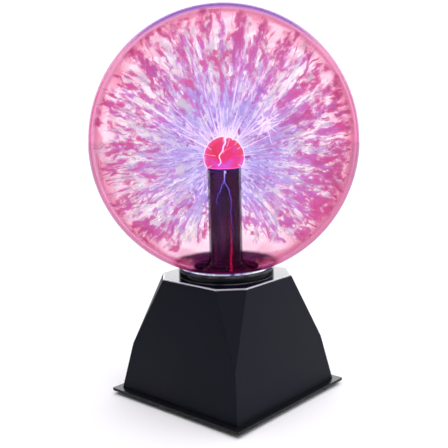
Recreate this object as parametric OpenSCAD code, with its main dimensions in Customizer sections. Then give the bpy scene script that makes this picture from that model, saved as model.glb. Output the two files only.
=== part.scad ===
// Plasma ball lamp: a gas-filled glass globe on a cut-cornered pyramid base.
// Z points up, Z = 0 is the underside of the rubber feet, and the globe's axis is X = Y = 0.
// The front is -Y. The power switch and the power inlet are on the back wall, at +Y.

/* [Globe] */
// Outside diameter of the globe
globe_d = 200; // [160:1:240]
// Thickness of the globe's glass
glass_wall = 2; // [1.5:0.1:3]
// Outside diameter of the glass neck under the globe
neck_d = 54; // [45:1:65]
// Gap between the base's top deck and the globe's lowest point
globe_gap = 1; // [0.6:0.1:3]

/* [Electrode] */
// Outside diameter of the glass bulb at the top of the inner stem
bulb_d = 30; // [25:0.5:36]
// How far the bulb's centre lies below the globe's centre
bulb_drop = 11.5; // [5:0.5:30]
// Outside diameter of the inner glass stem
stem_d = 25.5; // [20:0.5:29]
// Thickness of the stem's glass
stem_wall = 1.1; // [1:0.1:1.5]
// Gap between the stem's glass and the black insulating sleeve inside it
sleeve_gap = 0.4; // [0.2:0.05:1]

/* [Base] */
// Width of the shell where it meets the foot plate
shell_foot_w = 117; // [110:0.5:141]
// Width of deck left outside the collar ring at each flat side
deck_margin = 5.6; // [4:0.1:10]
// Height of the shell
shell_h = 88.4; // [74:0.2:110]
// Length that each corner cut takes off an edge of the top deck
corner_cut = 15.9; // [8:0.1:20]
// Height at which the corner cuts run out, as a share of the shell's height
cut_start = 0.4; // [0.3:0.05:0.6]
// Thickness of the shell's walls and deck
wall = 2.5; // [2:0.1:3]
// How far the foot plate's rim stands out past the shell
rim_out = 5.7; // [4:0.1:10]
// Thickness of the foot plate's rim
rim_t = 2.1; // [1.8:0.1:3]
// Thickness of the step under the rim
step_t = 1.7; // [1.5:0.1:2.5]
// Height of the rubber feet below the step
foot_h = 1.2; // [1:0.1:4]

/* [Collar] */
// Width of the ring that the globe sits in, from its bore to its outside
collar_w = 8.5; // [7:0.1:10.5]
// Height of the ring above the deck
collar_h = 6; // [5:0.1:6.5]

/* [Back wall] */
// Height of the switch and the inlet above the shell's foot
panel_z = 25; // [20.5:0.5:32]
// Distance of the switch and the inlet from the centre plane
panel_x = 17; // [14:0.5:24]
// Tilt of the rocker to each side of its middle position, in degrees
rocker_tilt = 10; // [6:0.5:12]
// Diameter of the inlet's centre pin
jack_pin_d = 2; // [1.6:0.1:2.5]
// Diameter of the inlet's socket
jack_bore_d = 6.3; // [5.2:0.1:7.6]

/* [Hidden] */
$fn = 64;

// Clearance between pieces that are fitted but not pressed together
fit = 0.05;
// Length of a cutter that has to pass right through
far = 400;

// Levels of the base
step_z = foot_h;
rim_z = step_z + step_t;
shell_z = rim_z + rim_t;
deck_z = shell_z + shell_h;
deck_under_z = deck_z - wall;

// Half widths of the shell's flat sides, which lean in towards the top
collar_in_r = neck_d / 2 + 1;
collar_r = collar_in_r + collar_w;
foot_half = shell_foot_w / 2;
top_half = collar_r + deck_margin;
lean = atan((foot_half - top_half) / shell_h);
function half_at(z) = foot_half + (top_half - foot_half) * (z - shell_z) / shell_h;

// Half widths across the corner cuts, measured along the diagonals
cut_z = shell_z + cut_start * shell_h;
cut_half_low = sqrt(2) * half_at(cut_z);
cut_half_top = (2 * top_half - corner_cut) / sqrt(2);
cut_lean = atan((cut_half_low - cut_half_top) / (deck_z - cut_z));
function cut_at(z) = cut_half_low + (cut_half_top - cut_half_low) * (z - cut_z) / (deck_z - cut_z);

// Globe and neck
globe_r = globe_d / 2;
globe_z = deck_z + globe_gap + globe_r;
neck_r = neck_d / 2;
neck_end_z = deck_z - 11;
neck_in_r = neck_r - glass_wall;
neck_top_z = globe_z - sqrt(pow(globe_r, 2) - pow(neck_r, 2)) + glass_wall / 2;

// Inner stem: a tube with a bulb on top and a trumpet flare that is fused into the neck
bulb_r = bulb_d / 2;
bulb_z = globe_z - bulb_drop;
stem_r = stem_d / 2;
flare_r = neck_in_r - stem_r;
flare_end_z = neck_top_z - 3.5;
flare_top_z = flare_end_z + flare_r;
sleeve_r = stem_r - stem_wall - sleeve_gap;
sleeve_wall = 1.5;
// The sleeve stops where its rim meets the electrode inside the bulb
ball_r = bulb_r - stem_wall - 0.3;
ball_wall = 0.8;
sleeve_top_z = bulb_z - sqrt(pow(ball_r + 0.25, 2) - pow(sleeve_r, 2));
bushing_z = deck_z - 4;
function flare_in_r(z) = neck_in_r - sqrt(pow(flare_r + stem_wall, 2) - pow(flare_top_z - z, 2));
rod_r = 1.5;
rod_reach = 12;
tip_r = 1.6;
tip_x = neck_in_r - 3.4;

// Collar ring
spigot_r = neck_r + 2.4;
spigot_drop = 3.5;
gasket_t = 0.8;
gasket_r = collar_r - 1.8;
collar_screw_r = (collar_in_r + collar_r) / 2;
collar_screw_angles = [45, 135, 225, 315];

// Foot plate and its fixings
rim_half = foot_half + rim_out;
step_half = rim_half - 6;
foot_at = step_half - 7.2;
boss_r = 4;
boss_at = foot_at - 7;
boss_top_z = shell_z + 26;
foot_r = 5.5;
foot_sunk = 0.6;
tap_r = 1.25;
tap_hole_r = tap_r + fit;
head_r = 2.8;
head_h = 1.8;

// Circuit board
board_w = 84;
board_d = 62;
board_t = 1.6;
board_y = -9;
standoff_h = 6;
board_z = shell_z + standoff_h;
board_top = board_z + board_t;
board_hole_x = board_w / 2 - 4;
board_hole_y = board_d / 2 - 4;

// High-voltage transformer: two U cores, one leg with each winding
core_x = -13;
core_y = -12;
leg_r = 4.5;
leg_at = 13;
yoke_w = 36;
yoke_d = 11;
yoke_t = 8;
core_z = board_top + 1.2;
leg_h = 11.5;
core_gap = 0.2;
core_h = 2 * (yoke_t + leg_h) + core_gap;
window_z = core_z + yoke_t;
window_h = core_h - 2 * yoke_t;
bobbin_in_r = leg_r + 0.15;
bobbin_hub_r = 6.2;
bobbin_flange_r = 12.4;
bobbin_slots = 4;
bobbin_flange_t = 1.2;
bobbin_h = window_h - 0.4;
bobbin_z = window_z + 0.2;
slot_pitch = (bobbin_h - bobbin_flange_t) / bobbin_slots;
secondary_x = core_x + leg_at;
primary_x = core_x - leg_at;
turn_r = 0.7;
turns = 14;
primary_in_r = leg_r + 0.15;
primary_r = primary_in_r + 2 * turn_r + 0.1;
lead_r = 1.5;
lead_bend = 6;
lead_over = 5;

// Back wall frame: its origin is on the shell's outside, +Y points out of the wall
panel_level = shell_z + panel_z;
module on_back_wall(x) {
    translate([x, half_at(panel_level), panel_level]) rotate([lean, 0, 0]) children();
}
function back_wall_point(x, y, z) = [
    x,
    half_at(panel_level) + y * cos(lean) - z * sin(lean),
    panel_level + y * sin(lean) + z * cos(lean)
];

// Rocker switch, in the back wall's frame
pivot_y = -2.5;
rocker_r = 8;
rocker_w = 10.2;
rocker_mid_y = 4.4;
cavity_w = rocker_w + 0.6;
cavity_l = 2 * rocker_r + 0.6;
housing_w = cavity_w + 2;
housing_l = cavity_l + 2.2;
bezel_w = housing_w + 2.2;
bezel_l = housing_l + 2.2;
bezel_t = 1.5;
pivot_pin_r = 1;
plunger_r = 1.1;
plunger_reach = 6;
blade_t = 0.5;
blade_l = cavity_l - 5.6;
blade_w = 4.5;
blade_ratio = -0.8;
fulcrum_r = 0.4;
saddle_r = fulcrum_r + fit;
blade_y = pivot_y - plunger_reach - saddle_r - blade_t - 0.1;
floor_y = blade_y - 1.3;
housing_back_y = floor_y - 2.15;
pad_reach = blade_l / 2 - 1.2;
// The pads stop just under the blade's end in its fullest tilt
blade_lean = abs(blade_ratio) * rocker_tilt;
pad_top_y = blade_y + saddle_r * cos(blade_lean) - blade_l / 2 * sin(blade_lean) - 0.1;

// Power inlet, in the back wall's frame
jack_r = jack_bore_d / 2 + 1.25;
jack_flange_r = jack_r + 1.4;
jack_flange_t = 1.6;
jack_len = 13;
jack_bore_depth = 11;
jack_back_y = jack_flange_t - jack_len;
jack_floor_y = jack_flange_t - jack_bore_depth;
pin_sunk = 0.5;
pin_tail_r = jack_pin_d / 2 + 0.3;
nut_across = 2 * jack_r + 3.2;
nut_t = 2.2;

// Wires from the back wall to the board's headers
tag_l = 4.6;
tag_x = 3;
terminal_l = 7;
wire_r = 0.8;
wire_pitch = 2.4;
wire_run = 5;
header_y = board_y + board_d / 2 - 3.4;
header_h = 7;
header_top = board_top + header_h;
jack_header_x = panel_x + 4;
switch_header_x = -panel_x - 8;

// ---------- shared shapes ----------

// A long prism with two leaning faces, at -X and +X
module leaning_slab(low_half, top_half, low_z, top_z) {
    rotate([90, 0, 0]) linear_extrude(far, center = true)
        polygon([[-low_half, low_z], [low_half, low_z], [top_half, top_z], [-top_half, top_z]]);
}

// The pyramid with cut corners, drawn in by a thickness t on every side
module pyramid(t, low_z, top_z) {
    side_t = t / cos(lean);
    cut_t = t / cos(cut_lean);
    intersection() {
        leaning_slab(half_at(low_z) - side_t, half_at(top_z) - side_t, low_z, top_z);
        rotate([0, 0, 90])
            leaning_slab(half_at(low_z) - side_t, half_at(top_z) - side_t, low_z, top_z);
        rotate([0, 0, 45])
            leaning_slab(cut_at(low_z) - cut_t, cut_at(top_z) - cut_t, low_z, top_z);
        rotate([0, 0, 135])
            leaning_slab(cut_at(low_z) - cut_t, cut_at(top_z) - cut_t, low_z, top_z);
    }
}

// A square plate with round corners
module square_plate(half, r, t) {
    linear_extrude(t) union() {
        square([2 * half, 2 * (half - r)], center = true);
        square([2 * (half - r), 2 * half], center = true);
        for (x = [-1, 1], y = [-1, 1])
            translate([x * (half - r), y * (half - r)]) circle(r);
    }
}

// Puts children at the four corners of a rectangle
module at_corners(x, y) {
    for (sx = [-1, 1], sy = [-1, 1]) translate([sx * x, sy * y, 0]) children();
}

// A ring between two radii
module ring(r_out, r_in, h) {
    difference() {
        cylinder(r = r_out, h = h);
        translate([0, 0, -1]) cylinder(r = r_in, h = h + 2);
    }
}

// A box centred in X and Y that stands on Z = 0
module block(x, y, z) {
    translate([-x / 2, -y / 2, 0]) cube([x, y, z]);
}

// A pan-head screw that points up, with its head's underside at Z = 0
module screw_up(r, length, head_radius, head_height) {
    cylinder(r = r, h = length);
    difference() {
        translate([0, 0, -head_height]) cylinder(r = head_radius, h = head_height + fit);
        for (a = [0, 90]) rotate([0, 0, a])
            translate([-head_radius * 0.6, -0.35, -head_height - 1])
                cube([head_radius * 1.2, 0.7, 1 + head_height * 0.5]);
    }
}

function unit(v) = v / norm(v);
function along(points, i) =
    unit(points[min(i + 1, len(points) - 1)] - points[max(i - 1, 0)]);
// A direction square to d, kept close to the reference direction
function square_to(d, reference) = unit(reference - (reference * d) * d);

// A round tube swept along points. The reference must never be parallel to the path.
module swept_tube(points, r, sides, reference) {
    count = len(points);
    rings = [
        for (i = [0:count - 1])
            let (d = along(points, i), u = square_to(d, reference), v = cross(d, u))
                for (k = [0:sides - 1])
                    points[i] + r * (cos(360 * k / sides) * u + sin(360 * k / sides) * v)
    ];
    walls = [
        for (i = [0:count - 2], k = [0:sides - 1])
            let (a = i * sides + k, b = i * sides + (k + 1) % sides)
                [a, a + sides, b + sides, b]
    ];
    start = [[for (k = [0:sides - 1]) k]];
    end = [[for (k = [sides - 1:-1:0]) (count - 1) * sides + k]];
    polyhedron(points = rings, faces = concat(start, walls, end), convexity = 6);
}

// Points of a smooth bend between stretches: each inner point becomes a short curve
function bend(a, b, c, t) = (1 - t) * (1 - t) * a + 2 * t * (1 - t) * b + t * t * c;
function route(points, reach) = concat(
    [points[0]],
    [
        for (i = [1:len(points) - 2])
            let (
                a = points[i] + reach * unit(points[i - 1] - points[i]),
                c = points[i] + reach * unit(points[i + 1] - points[i])
            )
                for (t = [0:0.25:1]) bend(a, points[i], c, t)
    ],
    [points[len(points) - 1]]
);

// ---------- globe and electrode ----------

// Gas-tight outer globe with its neck
module glass_globe() {
    color([0.85, 0.9, 1, 0.3]) rotate_extrude($fn = 96) difference() {
        union() {
            intersection() {
                translate([0, globe_z]) circle(globe_r);
                translate([0, globe_z - globe_r]) square([globe_r, 2 * globe_r]);
            }
            translate([0, neck_end_z]) square([neck_r, neck_top_z - neck_end_z]);
        }
        translate([0, globe_z]) circle(globe_r - glass_wall);
        translate([-1, neck_end_z - 1]) square([neck_in_r + 1, globe_z - neck_end_z]);
    }
}

// Outline of the stem's bulb, tube and flare, drawn in by t
module stem_outline(t) {
    translate([0, bulb_z]) circle(bulb_r - t, $fn = 96);
    translate([0, flare_top_z - 1]) square([stem_r - t, bulb_z - flare_top_z + 1]);
    difference() {
        translate([0, flare_end_z - stem_wall]) square([neck_in_r - fit, flare_r + stem_wall]);
        translate([neck_in_r, flare_top_z]) circle(flare_r + t, $fn = 96);
    }
}

// Inner glass: bulb, tube and flare in one
module glass_stem() {
    color([0.85, 0.9, 1, 0.3]) rotate_extrude() intersection() {
        difference() {
            stem_outline(0);
            stem_outline(stem_wall);
        }
        translate([0, flare_end_z - stem_wall])
            square([neck_in_r, bulb_z + bulb_r + stem_wall - flare_end_z]);
    }
}

// Glass nipple through which the globe was pumped out and filled
module exhaust_tip() {
    low_z = neck_end_z + 1.5 + tip_r;
    color([0.85, 0.9, 1, 0.3]) translate([tip_x, 0, 0]) rotate_extrude() union() {
        translate([0, low_z]) square([tip_r, flare_end_z - stem_wall - low_z]);
        intersection() {
            translate([0, low_z]) circle(tip_r);
            translate([0, low_z - tip_r]) square([tip_r, 2 * tip_r]);
        }
    }
}

// Conductive shell inside the bulb, which the filaments spring from
module electrode_ball() {
    color([0.95, 0.3, 0.4]) difference() {
        translate([0, 0, bulb_z]) sphere(r = ball_r, $fn = 96);
        translate([0, 0, bulb_z]) sphere(r = ball_r - ball_wall, $fn = 96);
        translate([0, 0, sleeve_top_z + fit - far]) cylinder(r = bulb_r, h = far);
    }
}

// Brass rod from the end of the high-voltage lead up to the shell's crown
module electrode_rod() {
    rod_z = sleeve_top_z - rod_reach;
    rod_top_z = bulb_z + ball_r - ball_wall - 0.1;
    color([0.8, 0.65, 0.3]) {
        translate([0, 0, rod_z]) cylinder(r = rod_r, h = rod_top_z - rod_r - rod_z);
        translate([0, 0, rod_top_z - rod_r]) sphere(r = rod_r, $fn = 32);
    }
}

// Black tube that hides the lead inside the stem
module stem_sleeve() {
    color([0.03, 0.03, 0.04]) translate([0, 0, bushing_z])
        ring(sleeve_r, sleeve_r - sleeve_wall, sleeve_top_z - bushing_z);
}

// Ringed foot that centres the sleeve in the flare
module stem_bushing() {
    steps = [
        [bushing_z, flare_end_z - stem_wall, neck_in_r - 1],
        [flare_end_z - stem_wall, flare_end_z + 0.8, flare_in_r(flare_end_z + 0.8) - 0.4],
        [flare_end_z + 0.8, flare_end_z + 3, flare_in_r(flare_end_z + 3) - 0.4],
        [flare_end_z + 3, flare_end_z + 6, flare_in_r(flare_end_z + 6) - 0.4]
    ];
    color([0.04, 0.04, 0.05]) difference() {
        union() {
            for (s = steps)
                translate([0, 0, s[0]]) cylinder(r = s[2], h = s[1] - s[0]);
        }
        translate([0, 0, bushing_z - 1]) cylinder(r = sleeve_r + fit, h = 40);
        translate([tip_x, 0, bushing_z - 1]) cylinder(r = tip_r + 0.2, h = 8);
    }
}

// Insulating cap that closes the neck and guides the lead
module neck_cap() {
    cap_z = neck_end_z - 2.5;
    color([0.9, 0.9, 0.88]) difference() {
        translate([0, 0, cap_z]) cylinder(r = neck_r + 1.6, h = 6.5);
        translate([0, 0, neck_end_z - fit]) cylinder(r = neck_r + fit, h = 10);
        translate([0, 0, cap_z - 1]) cylinder(r = lead_r + 0.1, h = 5);
    }
}

// ---------- collar ----------

// Outline of the hollow that the globe's underside leaves, at a distance t from the glass
module globe_clearance(t) {
    translate([0, globe_z]) circle(globe_r + t, $fn = 180);
}

// Ring that carries the globe on the deck
module collar_ring() {
    round_r = 1.2;
    color([0.02, 0.02, 0.02]) difference() {
        rotate_extrude($fn = 96) difference() {
            union() {
                translate([collar_in_r, deck_z])
                    square([collar_r - collar_in_r, collar_h - round_r]);
                translate([collar_in_r, deck_z])
                    square([collar_r - collar_in_r - round_r, collar_h]);
                translate([collar_r - round_r, deck_z + collar_h - round_r]) circle(round_r);
                translate([collar_in_r, deck_z - spigot_drop])
                    square([spigot_r - collar_in_r - fit, spigot_drop + 1]);
            }
            globe_clearance(gasket_t);
        }
        for (a = collar_screw_angles) rotate([0, 0, a])
            translate([collar_screw_r, 0, deck_z - fit]) cylinder(r = tap_hole_r, h = 3.6);
    }
}

// Soft bead between the glass and the ring
module globe_gasket() {
    color([0.05, 0.05, 0.05]) rotate_extrude($fn = 96) intersection() {
        difference() {
            globe_clearance(gasket_t - fit);
            globe_clearance(fit);
        }
        translate([collar_in_r, deck_z]) square([gasket_r - collar_in_r, 12]);
    }
}

// Screws from inside the shell up into the ring
module collar_screws() {
    color([0.7, 0.7, 0.72]) for (a = collar_screw_angles) rotate([0, 0, a])
        translate([collar_screw_r, 0, deck_under_z - 2 * fit]) screw_up(tap_r, wall + 3, 2.4, 1.6);
}

// ---------- base ----------

// Pyramid casing, open underneath
module base_shell() {
    color([0.07, 0.07, 0.09]) difference() {
        union() {
            difference() {
                pyramid(0, shell_z, deck_z);
                pyramid(wall, shell_z - 1, deck_under_z);
            }
            intersection() {
                pyramid(wall / 2, shell_z, deck_under_z);
                at_corners(boss_at, boss_at)
                    translate([0, 0, shell_z]) cylinder(r = boss_r, h = boss_top_z - shell_z);
            }
            // Webs that tie the bosses to the corners
            intersection() {
                pyramid(wall / 2, shell_z, deck_under_z);
                for (a = [45, 135, 225, 315]) rotate([0, 0, a])
                    translate([sqrt(2) * boss_at, -1, shell_z + 5])
                        cube([20, 2, boss_top_z - shell_z - 5]);
            }
        }
        translate([0, 0, deck_under_z - 1]) cylinder(r = spigot_r, h = wall + 2);
        for (a = collar_screw_angles) rotate([0, 0, a])
            translate([collar_screw_r, 0, deck_under_z - 1]) cylinder(r = 1.7, h = wall + 2);
        at_corners(boss_at, boss_at)
            translate([0, 0, shell_z - 1]) cylinder(r = tap_hole_r, h = 16);
        on_back_wall(-panel_x) translate([-housing_w / 2 - 0.1, -8, -housing_l / 2 - 0.1])
            cube([housing_w + 0.2, 16, housing_l + 0.2]);
        on_back_wall(panel_x) rotate([90, 0, 0])
            translate([0, 0, -8]) cylinder(r = jack_r + 0.1, h = 16);
    }
}

// Base plate: a rim that shows all round, a step under it, standoffs and vents
module foot_plate() {
    lip_out = half_at(shell_z + 3) - wall / cos(lean) - 0.3;
    lip_in = lip_out - 1.6;
    vent_l = 34;
    vent_w = 2.6;
    color([0.05, 0.05, 0.06]) difference() {
        union() {
            translate([0, 0, rim_z]) square_plate(rim_half, 0.6, rim_t);
            translate([0, 0, step_z]) square_plate(step_half, 2, step_t);
            difference() {
                translate([0, 0, shell_z - 1]) square_plate(lip_out, 2, 4);
                translate([0, 0, shell_z - 2]) square_plate(lip_in, 0.6, 8);
            }
            translate([0, board_y, 0]) at_corners(board_hole_x, board_hole_y)
                translate([0, 0, shell_z - 1]) cylinder(r = 3, h = standoff_h + 1);
        }
        translate([0, board_y, 0]) at_corners(board_hole_x, board_hole_y)
            translate([0, 0, shell_z]) cylinder(r = tap_hole_r, h = standoff_h + 1);
        at_corners(boss_at, boss_at) {
            translate([0, 0, step_z - 1]) cylinder(r = 1.6, h = 10);
            translate([0, 0, step_z - 1]) cylinder(r = head_r + 0.3, h = 1 + head_h + 0.3);
        }
        at_corners(foot_at, foot_at)
            translate([0, 0, step_z - 1]) cylinder(r = foot_r + 0.1, h = 1 + foot_sunk);
        for (side = [-1, 1], i = [-2:2])
            translate([side * 22, i * 5.5, step_z - 1])
                translate([-vent_l / 2, -vent_w / 2, 0]) cube([vent_l, vent_w, 10]);
    }
}

// Screws that hold the foot plate to the shell's bosses
module cover_screws() {
    color([0.7, 0.7, 0.72]) at_corners(boss_at, boss_at)
        translate([0, 0, step_z + head_h + 0.3 - fit]) screw_up(tap_r, 14, head_r, head_h);
}

// Rubber feet, sunk a little into the step
module rubber_feet() {
    color([0.1, 0.1, 0.1]) at_corners(foot_at, foot_at)
        cylinder(r = foot_r, h = foot_h + foot_sunk - fit);
}

// ---------- circuit ----------

// Board with its four fixing holes
module circuit_board() {
    color([0.1, 0.35, 0.15]) translate([0, board_y, board_z]) difference() {
        block(board_w, board_d, board_t);
        at_corners(board_hole_x, board_hole_y)
            translate([0, 0, -1]) cylinder(r = 1.6, h = board_t + 2);
    }
}

// Screws from the board down into the standoffs
module board_screws() {
    color([0.7, 0.7, 0.72]) translate([0, board_y, 0]) at_corners(board_hole_x, board_hole_y)
        translate([0, 0, board_top + fit]) rotate([180, 0, 0]) screw_up(tap_r, 6, 2.4, 1.5);
}

// One U of the ferrite core, standing on Z = 0 with its legs up
module core_half() {
    block(yoke_w, yoke_d, yoke_t);
    for (x = [-leg_at, leg_at]) translate([x, 0, 0]) cylinder(r = leg_r, h = yoke_t + leg_h);
}

// Lower half of the transformer's ferrite core
module core_lower() {
    color([0.2, 0.2, 0.2]) translate([core_x, core_y, core_z]) core_half();
}

// Upper half of the core, turned over, a thin gap above the lower one
module core_upper() {
    color([0.2, 0.2, 0.2]) translate([core_x, core_y, core_z + core_h])
        rotate([180, 0, 0]) core_half();
}

// Steel strap around both halves, between the two windings
module core_strap() {
    strap_t = 0.6;
    strap_w = 5;
    strap_x = (primary_x + primary_r + secondary_x - bobbin_flange_r) / 2;
    inner_d = yoke_d + 2 * fit;
    inner_h = core_h + 2 * fit;
    color([0.6, 0.6, 0.62]) translate([strap_x, core_y, core_z - fit]) difference() {
        translate([0, 0, -strap_t]) block(strap_w, inner_d + 2 * strap_t, inner_h + 2 * strap_t);
        block(2 * strap_w, inner_d, inner_h);
    }
}

// Former with flanges that keep the high-voltage layers apart
module secondary_bobbin() {
    color([0.85, 0.83, 0.75]) translate([secondary_x, core_y, bobbin_z]) difference() {
        union() {
            cylinder(r = bobbin_hub_r, h = bobbin_h);
            for (i = [0:bobbin_slots])
                translate([0, 0, i * slot_pitch]) cylinder(r = bobbin_flange_r, h = bobbin_flange_t);
        }
        translate([0, 0, -1]) cylinder(r = bobbin_in_r, h = bobbin_h + 2);
    }
}

// Fine wire in each slot of the former
module secondary_winding() {
    color([0.6, 0.25, 0.12]) translate([secondary_x, core_y, bobbin_z])
        for (i = [0:bobbin_slots - 1])
            translate([0, 0, i * slot_pitch + bobbin_flange_t + fit])
                ring(bobbin_flange_r - 1.6, bobbin_hub_r + fit, slot_pitch - bobbin_flange_t - 2 * fit);
}

// Thick wire around the other leg, one round ridge for each turn
module primary_winding() {
    first_z = window_z + (window_h - (turns - 1) * 2 * turn_r) / 2;
    color([0.75, 0.4, 0.15]) translate([primary_x, core_y, 0]) rotate_extrude() union() {
        translate([primary_in_r, first_z - turn_r]) square([turn_r, 2 * turn_r * turns]);
        // Each ridge laps its neighbours a little, so that the turns are one solid
        for (i = [0:turns - 1])
            translate([primary_r - turn_r - fit, first_z + i * 2 * turn_r]) circle(turn_r + fit);
    }
}

// Insulated lead from the secondary winding up through the neck to the rod
module hv_lead() {
    run_z = core_z + core_h + lead_over;
    down_z = bobbin_z + bobbin_h + fit;
    end_y = core_y - yoke_d / 2 - lead_r - 2;
    heading = atan2(end_y, secondary_x);
    reach = norm([secondary_x, end_y]);
    color([0.75, 0.1, 0.1]) rotate([0, 0, heading]) {
        translate([0, 0, run_z + lead_bend])
            cylinder(r = lead_r, h = sleeve_top_z - rod_reach - fit - run_z - lead_bend);
        translate([lead_bend, 0, run_z + lead_bend]) rotate([90, 0, 0])
            rotate_extrude(angle = 90, start = 180) translate([lead_bend, 0]) circle(lead_r);
        translate([lead_bend, 0, run_z]) rotate([0, 90, 0])
            cylinder(r = lead_r, h = reach - 2 * lead_bend);
        translate([reach - lead_bend, 0, run_z - lead_bend]) rotate([90, 0, 0])
            rotate_extrude(angle = 90) translate([lead_bend, 0]) circle(lead_r);
        translate([reach, 0, down_z]) cylinder(r = lead_r, h = run_z - lead_bend - down_z);
    }
}

// Finned aluminium block for the transistor
module heat_sink() {
    fins = 6;
    color([0.75, 0.76, 0.78]) translate([32, -12, board_top]) difference() {
        union() {
            translate([-2, -14, 0]) cube([3, 28, 26]);
            for (i = [0:fins - 1])
                translate([0, -14 + i * (28 - 1.4) / (fins - 1), 0]) cube([8, 1.4, 26]);
        }
        translate([-3, 0, 19]) rotate([0, 90, 0]) cylinder(r = tap_hole_r, h = 5);
    }
}

// Transistor with its tab against the block and three legs in the board
module power_transistor() {
    tab_x = 30 - fit;
    color([0.08, 0.08, 0.08]) translate([tab_x - 4.5, -17, board_top + 4]) cube([4.5, 10, 9.5]);
    color([0.7, 0.7, 0.72]) translate([tab_x - 1.3, -12, board_top + 13]) difference() {
        translate([0, -5, 0]) cube([1.3, 10, 9]);
        translate([-1, 0, 6]) rotate([0, 90, 0]) cylinder(r = 1.6, h = 4);
    }
    color([0.7, 0.7, 0.72]) for (y = [-2.54, 0, 2.54])
        translate([tab_x - 2.6, -12 + y - 0.4, board_top + fit]) cube([0.6, 0.8, 4.5]);
}

// Screw through the tab into the block
module transistor_screw() {
    color([0.7, 0.7, 0.72]) translate([30 - fit - 1.3 - fit, -12, board_top + 19])
        rotate([0, 90, 0]) screw_up(tap_r, 3.5, 2.4, 1.5);
}

// Eight-legged timer chip
module control_chip() {
    color([0.06, 0.06, 0.06]) translate([12, 12, board_top + 0.6]) block(9.8, 6.4, 3.4);
    color([0.8, 0.8, 0.8]) for (i = [0:3], side = [-1, 1])
        translate([12 - 3.81 + i * 2.54, 12 + side * 3.4, board_top + fit]) block(0.6, 0.8, 2);
}

// Two electrolytic cans
module filter_capacitors() {
    color([0.1, 0.12, 0.3]) translate([34, 9, board_top + fit]) {
        cylinder(r = 5, h = 16);
        translate([-11, -8, 0]) cylinder(r = 4, h = 11.5);
    }
}

// Moulded resonance capacitor on its two legs
module film_capacitor() {
    color([0.65, 0.12, 0.1]) translate([-14, 8, board_top + 1.2]) block(13, 6, 10);
    color([0.8, 0.8, 0.8]) for (x = [-5, 5])
        translate([-14 + x, 8, board_top + fit]) cylinder(r = 0.35, h = 1.3);
}

// Four axial resistors, each on two bent legs
module resistors() {
    for (i = [0:3]) translate([-32, i * 4.2, board_top + 1.6]) {
        color([0.8, 0.7, 0.5]) rotate([0, 90, 0]) cylinder(r = 1.2, h = 6.4, center = true);
        color([0.8, 0.8, 0.8]) {
            rotate([0, 90, 0]) cylinder(r = 0.3, h = 10, center = true);
            for (x = [-4.8, 4.8]) translate([x, 0, fit - 1.6]) cylinder(r = 0.3, h = 1.6);
        }
    }
}

// Rectifier diode with its pale end band and legs
module rectifier_diode() {
    color([0.08, 0.08, 0.08]) translate([-14, 15.5, board_top + 2]) {
        rotate([0, 90, 0]) cylinder(r = 1.6, h = 5.4, center = true);
        rotate([0, 90, 0]) cylinder(r = 0.4, h = 12, center = true);
        for (x = [-5.7, 5.7]) translate([x, 0, fit - 2]) cylinder(r = 0.4, h = 2);
    }
}

// Electret capsule that listens in the sound mode
module microphone_capsule() {
    color([0.75, 0.76, 0.78]) translate([0, 15, board_top + fit]) difference() {
        cylinder(r = 3, h = 5.2);
        translate([0, 0, 4.4]) cylinder(r = 2.2, h = 2);
    }
}

// Header blocks for the two wire pairs
module board_headers() {
    color([0.92, 0.9, 0.84]) for (x = [switch_header_x, jack_header_x])
        translate([x, header_y, board_top + fit]) block(7.6, 5, header_h - fit);
}

// ---------- power inlet ----------

// Barrel socket with its outer flange
module jack_housing() {
    color([0.03, 0.03, 0.03]) on_back_wall(panel_x) rotate([90, 0, 0]) difference() {
        union() {
            translate([0, 0, -jack_flange_t - fit])
                cylinder(r = jack_flange_r, h = jack_flange_t);
            translate([0, 0, -jack_flange_t]) cylinder(r = jack_r, h = jack_len);
        }
        translate([0, 0, -jack_flange_t - 1]) cylinder(r = jack_bore_d / 2, h = jack_bore_depth + 1);
        cylinder(r = pin_tail_r + fit, h = far);
    }
}

// Centre contact of the inlet: a free pin in the socket and a thicker tail in the housing
module jack_pin() {
    color([0.85, 0.8, 0.6]) on_back_wall(panel_x) rotate([90, 0, 0]) {
        translate([0, 0, pin_sunk - jack_flange_t])
            cylinder(r = jack_pin_d / 2, h = jack_bore_depth - pin_sunk);
        translate([0, 0, -jack_floor_y]) cylinder(r = pin_tail_r, h = jack_floor_y - jack_back_y + 0.5);
    }
}

// Nut that clamps the inlet from inside
module jack_nut() {
    color([0.75, 0.75, 0.78]) on_back_wall(panel_x) rotate([90, 0, 0])
        translate([0, 0, wall + fit]) difference() {
            cylinder(r = nut_across / 2 / cos(30), h = nut_t, $fn = 6);
            translate([0, 0, -1]) cylinder(r = jack_r + fit, h = nut_t + 2);
        }
}

// Solder tags behind the socket
module jack_tags() {
    color([0.8, 0.8, 0.8]) on_back_wall(panel_x) for (x = [-tag_x, tag_x])
        translate([x - 0.3, jack_back_y - tag_l - fit, -1]) cube([0.6, tag_l, 2]);
}

// One wire: straight back from a tag on the wall's inside, across, and down into a header
module wall_wire(x, tag_end_y, z, header_x, level) {
    swept_tube(route([
        back_wall_point(x, tag_end_y - fit, z),
        back_wall_point(x, tag_end_y - wire_run, z),
        [header_x, header_y, level],
        [header_x, header_y, header_top + fit]
    ], 2), wire_r, 8, [1, 0, 0]);
}

// Two insulated wires from the inlet's tags to a header
module jack_wires() {
    for (side = [-1, 1]) color(side < 0 ? [0.7, 0.05, 0.05] : [0.05, 0.05, 0.05])
        wall_wire(
            panel_x + side * tag_x, jack_back_y - tag_l - fit, 0,
            jack_header_x + side * wire_pitch / 2, header_top + 7
        );
}

// ---------- switch ----------

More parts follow.
